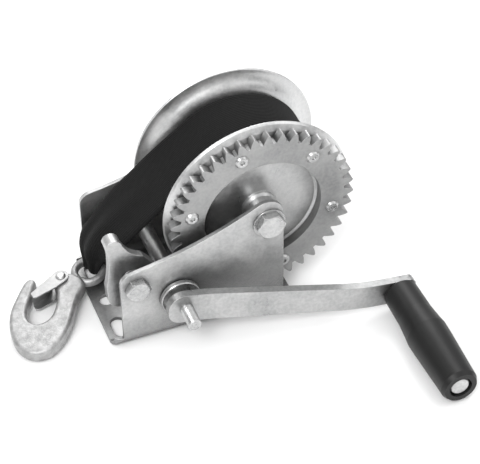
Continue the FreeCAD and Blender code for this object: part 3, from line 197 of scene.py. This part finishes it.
def painted_recess_shade(tree, colour, reach, darkest):
    """Paints shade into a colour: darker in corners and recesses, where less light reaches."""
    open_share = add(tree, "ShaderNodeAmbientOcclusion", {"Distance": reach}, samples=6).outputs["AO"]
    darkening = {0: colour, 1: (darkest,) * 3}
    in_shade = add(tree, "ShaderNodeVectorMath", darkening, operation="MULTIPLY").outputs[0]
    return mix_colours(tree, contrast(tree, open_share, 0.25, 0.95), in_shade, colour)


def emboss(tree, shader, height, strength, depth, **under):
    """Roughens a shader's surface by a height up to `depth` metres, over another normal if one is given."""
    inputs = {"Strength": strength, "Distance": depth, "Height": height, **under}
    feed(tree, shader.inputs["Normal"], add(tree, "ShaderNodeBump", inputs).outputs[0])


def edge_mask(tree, reach):
    """About 1 on edges sharper than `reach` metres and 0 on open faces, with the rounded normal."""
    rounded = add(tree, "ShaderNodeBevel", {"Radius": reach}, samples=4).outputs[0]
    geometry = add(tree, "ShaderNodeNewGeometry").outputs["Normal"]
    product = add(tree, "ShaderNodeVectorMath", {0: rounded, 1: geometry}, operation="DOT_PRODUCT")
    away = math_node(tree, "SUBTRACT", 1.0, product.outputs["Value"])
    return math_node(tree, "MINIMUM", math_node(tree, "MULTIPLY", away, 6.0), 1.0), rounded


# ------------------------------------------------------------------ materials


def plated_steel(name, tone, roughness, grain=EVEN, grain_depth=0.04, cloud=0.12, edge=0.0006,
                 shade_darkest=0.7, recess=0.03):
    """Zinc-plated steel: cloudy plating, fine rolling marks, painted shade in recesses, and edges worn
    brighter.
    """
    material, tree, shader = start_material(name)
    clouds = scaled_noise(tree, EVEN, 42.0)
    crystals = scaled_noise(tree, EVEN, 420.0, 2.0)
    marks = scaled_noise(tree, grain, 900.0, 3.0)
    worn, rounded = edge_mask(tree, edge)
    blotch = math_node(tree, "ADD", math_node(tree, "MULTIPLY", contrast(tree, clouds), 0.6),
                       math_node(tree, "MULTIPLY", contrast(tree, crystals), 0.4))
    plated = mix_colours(tree, blotch, grey(tone * (1 - cloud), (0.985, 0.995, 1.0)),
                         grey(tone * (1 + cloud), (1.0, 1.0, 0.995)))
    wear = math_node(tree, "MULTIPLY", worn, spread(tree, clouds, 0.3, 1.0))
    bright = mix_colours(tree, wear, plated, grey(tone * 1.35))
    # Painted shade: the colour is darkened in corners and recesses.
    feed(tree, shader.inputs["Base Color"], painted_recess_shade(tree, bright, recess, shade_darkest))
    feed(tree, shader.inputs["Metallic"], 0.9)
    feed(tree, shader.inputs["Roughness"], spread(tree, blotch, roughness - 0.09, roughness + 0.11))
    emboss(tree, shader, marks, grain_depth, 0.0004, Normal=rounded)
    return material


def forged_steel(name, tone, roughness):
    """Forged steel under plating: lumpy hammer scale and soft pits."""
    material, tree, shader = start_material(name)
    lumps = scaled_noise(tree, EVEN, 190.0, 6.0)
    pits = scaled_noise(tree, EVEN, 700.0, 3.0)
    relief = math_node(tree, "ADD", lumps, math_node(tree, "MULTIPLY", pits, 0.35))
    scale = mix_colours(tree, contrast(tree, lumps), grey(tone * 0.78), grey(tone * 1.14))
    # Painted shade: the hook's colour is darkened in corners and recesses.
    feed(tree, shader.inputs["Base Color"], painted_recess_shade(tree, scale, 0.02, 0.75))
    feed(tree, shader.inputs["Metallic"], 0.85)
    feed(tree, shader.inputs["Roughness"], spread(tree, pits, roughness - 0.05, roughness + 0.15))
    emboss(tree, shader, relief, 0.5, 0.0011)
    return material


def moulded_plastic(name):
    """Black moulded plastic: fine spark texture and faint flow marks along the grip."""
    material, tree, shader = start_material(name)
    flow = scaled_noise(tree, (1, 0.15, 1), 60.0)
    stipple = scaled_noise(tree, EVEN, 1600.0, 2.0)
    feed(tree, shader.inputs["Base Color"], mix_colours(tree, contrast(tree, flow), grey(0.005), grey(0.01)))
    feed(tree, shader.inputs["Roughness"], spread(tree, flow, 0.4, 0.54))
    feed(tree, shader.inputs["Specular IOR Level"], 0.36)
    emboss(tree, shader, stipple, 0.12, 0.0002)
    return material


def woven_webbing(name):
    """Black polyester webbing: ribs along its length crossed by picks, from its own length and width."""
    material, tree, shader = start_material(name)
    place = add(tree, "ShaderNodeUVMap").outputs[0]
    parts = add(tree, "ShaderNodeSeparateXYZ", {0: place})
    along, across = parts.outputs[0], parts.outputs[1]
    rib_pitch, pick_pitch = 0.0017, 0.0011
    ribs = math_node(tree, "SINE", math_node(tree, "MULTIPLY", across, 2 * math.pi / rib_pitch))
    slant = math_node(tree, "ADD", along, math_node(tree, "MULTIPLY", across, 0.5))
    picks = math_node(tree, "SINE", math_node(tree, "MULTIPLY", slant, 2 * math.pi / pick_pitch))
    raised = math_node(tree, "ADD", math_node(tree, "MULTIPLY", ribs, 0.5), 0.5)
    weave = math_node(tree, "ADD", raised, math_node(tree, "MULTIPLY", picks, 0.3))
    fuzz = scaled_noise(tree, EVEN, 240.0)
    tone = math_node(tree, "ADD", math_node(tree, "MULTIPLY", weave, 0.5),
                     math_node(tree, "MULTIPLY", fuzz, 0.4))
    feed(tree, shader.inputs["Base Color"], mix_colours(tree, tone, grey(0.004), grey(0.014)))
    feed(tree, shader.inputs["Roughness"], 0.82)
    feed(tree, shader.inputs["Specular IOR Level"], 0.12)
    feed(tree, shader.inputs["Sheen Weight"], 0.02)
    emboss(tree, shader, weave, 0.6, 0.0003)
    return material


def pale_floor(name):
    """Plain pale card, very faintly mottled."""
    material, tree, shader = start_material(name)
    mottle = scaled_noise(tree, EVEN, 3.0)
    feed(tree, shader.inputs["Base Color"], mix_colours(tree, mottle, grey(0.93), grey(0.95)))
    feed(tree, shader.inputs["Roughness"], 0.9)
    return material


def paint_nodes():
    """One material for each of the record's slots, given to every CAD node."""
    finishes = {slot: plated_steel(slot, **look) for slot, look in STEELS.items()}
    finishes["forged_hook"] = forged_steel("forged_hook", 0.46, 0.46)
    finishes["grip_plastic"] = moulded_plastic("grip_plastic")
    finishes["webbing"] = woven_webbing("webbing")
    for row in frame["record"]["subparts"]:
        node = frame["nodes"][row["node"]]
        node.data.materials.clear()
        node.data.materials.append(finishes[row["material_slot"]])
    return finishes


# -------------------------------------------------------------------- webbing


def section_points(width, fold, curl, columns):
    """Across the webbing: (offset across, offset out), folded like an M with its edges curled back."""
    points = []
    for column in range(columns + 1):
        share = 2 * column / columns - 1
        wave = fold * math.cos(2 * math.pi * share) * (1 - share ** 4)
        points.append((share * width / 2, wave - curl * share * share))
    return points


def ribbon(name, stations, columns):
    """A solid strip of webbing through stations of (middle, along, across, width, fold, curl), in mm."""
    half = WEBBING_THICKNESS / 2
    rings, lengths = [], [0.0]
    for number, (middle, along, across, width, fold, curl) in enumerate(stations):
        out = across.cross(along).normalized()
        level = [middle + across * a + out * b for a, b in section_points(width, fold, curl, columns)]
        slopes = [level[min(i + 1, columns)] - level[max(i - 1, 0)] for i in range(columns + 1)]
        normals = [slope.cross(along).normalized() for slope in slopes]
        top = [p + n * half for p, n in zip(level, normals)]
        bottom = [p - n * half for p, n in zip(level, normals)]
        rings.append(top + bottom[::-1])
        if number:
            lengths.append(lengths[-1] + (middle - stations[number - 1][0]).length)
    return strip_object(name, rings, lengths, columns)


def strip_object(name, rings, lengths, columns):
    """Skins the rings, closes both ends and lays the weave's coordinates along and across."""
    round_ring = len(rings[0])
    points = [point * MM for ring in rings for point in ring]
    faces, places = [], []

    def lay(ring, corner):
        """How far along and across the webbing a corner lies, in metres."""
        side = corner % round_ring
        share = side if side <= columns else round_ring - 1 - side
        return lengths[ring] * MM, share / columns * WEBBING_WIDTH * MM

    for ring in range(len(rings) - 1):
        for corner in range(round_ring):
            beside = (corner + 1) % round_ring
            here, there = ring * round_ring, (ring + 1) * round_ring
            faces.append((here + corner, here + beside, there + beside, there + corner))
            around = ((ring, corner), (ring, beside), (ring + 1, beside), (ring + 1, corner))
            places.append([lay(*spot) for spot in around])
    last = (len(rings) - 1) * round_ring
    for column in range(columns):
        a, b, c, d = column, column + 1, round_ring - 2 - column, round_ring - 1 - column
        faces.append((d, c, b, a))
        places.append([lay(0, k) for k in (d, c, b, a)])
        faces.append(tuple(last + k for k in (a, b, c, d)))
        places.append([lay(len(rings) - 1, k) for k in (a, b, c, d)])
    mesh = bpy.data.meshes.new(name)
    mesh.from_pydata(points, [], faces)
    layer = mesh.uv_layers.new(name="UVMap")
    for polygon, corners in zip(mesh.polygons, places):
        polygon.use_smooth = True
        for loop, place in zip(polygon.loop_indices, corners):
            layer.data[loop].uv = place
    mesh.update()
    piece = bpy.data.objects.new(name, mesh)
    bpy.context.scene.collection.objects.link(piece)
    return piece


def drum_station(radius, degrees, width=WEBBING_WIDTH):
    """A station of flat webbing lying round the drum."""
    angle = math.radians(degrees)
    out = Vector((math.cos(angle), 0, math.sin(angle)))
    along = Vector((-math.sin(angle), 0, math.cos(angle)))
    return DRUM_AXIS + out * radius, along, ACROSS_DRUM, width, 0.0, 0.0


def make_roll():
    """The wound webbing: one strip in a close spiral, from the core to just under the outer turn."""
    first, last = CORE_RADIUS + WEBBING_THICKNESS / 2, ROLL_RADIUS - WEBBING_THICKNESS / 2
    turns = (last - first) / LAYER_PITCH
    steps = int(turns * DRUM_STEPS)
    stations = []
    for step in range(steps + 1):
        gone = turns * step / steps
        stations.append(drum_station(first + LAYER_PITCH * gone, TURN_START - 360 * (turns - gone)))
    return ribbon("webbing_roll", stations, ROLL_COLUMNS)


def loop_stations():
    """Down through the eye, round the rod and up the other side, as control rows."""
    rows = []
    for degrees in (20, -25, -70, -110, -155, -200):
        angle = math.radians(degrees)
        middle = LOOP_MIDDLE + (LOOP_HEADING * math.cos(angle) + UP * math.sin(angle)) * LOOP_RADIUS
        rows.append((middle, LOOP_WIDTH, 0.7, 1.0, LOOP_TURN))
    return rows


def between(before, here, after, beyond, share):
    """Catmull-Rom blend of four values."""
    return 0.5 * (2 * here + (after - before) * share
                  + (2 * before - 5 * here + 4 * after - beyond) * share ** 2
                  + (3 * here - before - 3 * after + beyond) * share ** 3)


def smooth_rows(rows, steps):
    """Fills in between control rows, each a flat list of numbers."""
    filled = []
    for number in range(len(rows) - 1):
        picks = [rows[max(0, min(len(rows) - 1, number + shift))] for shift in (-1, 0, 1, 2)]
        for step in range(steps):
            filled.append([between(*values, step / steps) for values in zip(*picks)])
    filled.append(list(rows[-1]))
    return filled


def make_tail():
    """The outer turn, the free length that gathers as it falls, the loop through the eye and its sewn end."""
    on_drum = [drum_station(OUTER_TURN_RADIUS, TURN_START + (TURN_END - TURN_START) * step / DRUM_STEPS)
               for step in range(DRUM_STEPS + 1)]
    before_leaving, leaving = on_drum[-7][0], on_drum[-1][0]
    control = [(*middle, WEBBING_WIDTH, 0.0, 0.0, 0.0) for middle in (before_leaving, leaving)]
    loose = RUN_STATIONS + loop_stations() + LAP_STATIONS
    control += [(*middle, width, fold, curl, turn) for middle, width, fold, curl, turn in loose]
    rows = smooth_rows(control, ROW_STEPS)[ROW_STEPS + 1:]
    middles = [Vector(row[:3]) for row in rows]
    stations = list(on_drum)
    for number, (*_, width, fold, curl, degrees) in enumerate(rows):
        ahead = middles[min(number + 1, len(rows) - 1)]
        behind = middles[number - 1] if number else on_drum[-1][0]
        along = (ahead - behind).normalized()
        turn = math.radians(degrees)
        across = Vector((-math.sin(turn), math.cos(turn), 0))
        across = (across - along * across.dot(along)).normalized()
        stations.append((middles[number], along, across, width, max(0.0, fold), curl))
    length = sum((after[0] - before[0]).length for before, after in zip(stations, stations[1:]))
    return ribbon("webbing_tail", stations, TAIL_COLUMNS), length


def stand_in(piece, finish, node, body):
    """Gives a webbing piece its finish, and puts it in a CAD node's place on that node's body."""
    piece.data.materials.append(finish)
    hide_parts(node)
    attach(piece, body)


def make_webbing(finish):
    """The wound roll, which turns with the drum, and the free webbing, which stays with the frame."""
    stand_in(make_roll(), finish, "strap_roll", "drum")
    tail, length = make_tail()
    stand_in(tail, finish, "strap_tail", "frame")


# ---------------------------------------------------------------------- stage


def make_floor():
    """One plain pale square under the winch."""
    mesh = bpy.data.meshes.new("floor")
    corners = [(x * FLOOR_HALF_SIDE, y * FLOOR_HALF_SIDE, FLOOR_LEVEL)
               for x, y in ((-1, -1), (1, -1), (1, 1), (-1, 1))]
    mesh.from_pydata(corners, [], [(0, 1, 2, 3)])
    mesh.materials.append(pale_floor("floor"))
    floor = bpy.data.objects.new("floor", mesh)
    bpy.context.scene.collection.objects.link(floor)


def make_world():
    """Soft light from all round, brighter overhead and dim near the horizon."""
    world = bpy.data.worlds.new("studio")
    world.use_nodes = True
    tree = world.node_tree
    direction = add(tree, "ShaderNodeTexCoord").outputs["Generated"]
    height = add(tree, "ShaderNodeSeparateXYZ", {0: direction}).outputs[2]
    fade = {"Value": height, "From Max": OVERHEAD_HEIGHT, "To Min": HORIZON_LEVEL, "To Max": OVERHEAD_LEVEL}
    level = add(tree, "ShaderNodeMapRange", fade).outputs["Result"]
    feed(tree, tree.nodes["Background"].inputs["Strength"], level)
    feed(tree, tree.nodes["Background"].inputs["Color"], (1, 1, 1, 1))
    bpy.context.scene.world = world


def make_light(name, place, size, power):
    """A square soft light aimed at the middle of the winch."""
    data = bpy.data.lights.new(name, "AREA")
    data.shape = "SQUARE"
    data.size = size
    data.energy = power
    light = bpy.data.objects.new(name, data)
    light.location = place
    light.rotation_mode = "QUATERNION"
    light.rotation_quaternion = (CAMERA_TARGET - Vector(place)).to_track_quat("-Z", "Y")
    bpy.context.scene.collection.objects.link(light)


def make_camera():
    """The camera at the fitted place and angle."""
    data = bpy.data.cameras.new("camera")
    data.lens = CAMERA_LENS
    data.sensor_width = SENSOR_WIDTH
    data.shift_x, data.shift_y = CAMERA_SHIFT
    camera = bpy.data.objects.new("camera", data)
    back = CAMERA_BACK.normalized()
    right = CAMERA_UP.cross(back).normalized()
    turn = Matrix((right, back.cross(right), back)).transposed()
    camera.matrix_world = Matrix.Translation(CAMERA_TARGET + back * CAMERA_DISTANCE) @ turn.to_4x4()
    bpy.context.scene.collection.objects.link(camera)
    bpy.context.scene.camera = camera


finishes = paint_nodes()
make_webbing(finishes["webbing"])
make_floor()
make_world()
for name, (place, size, power) in LIGHTS.items():
    make_light(name, place, size, power)
make_camera()
bpy.context.scene.view_settings.view_transform = "Standard"
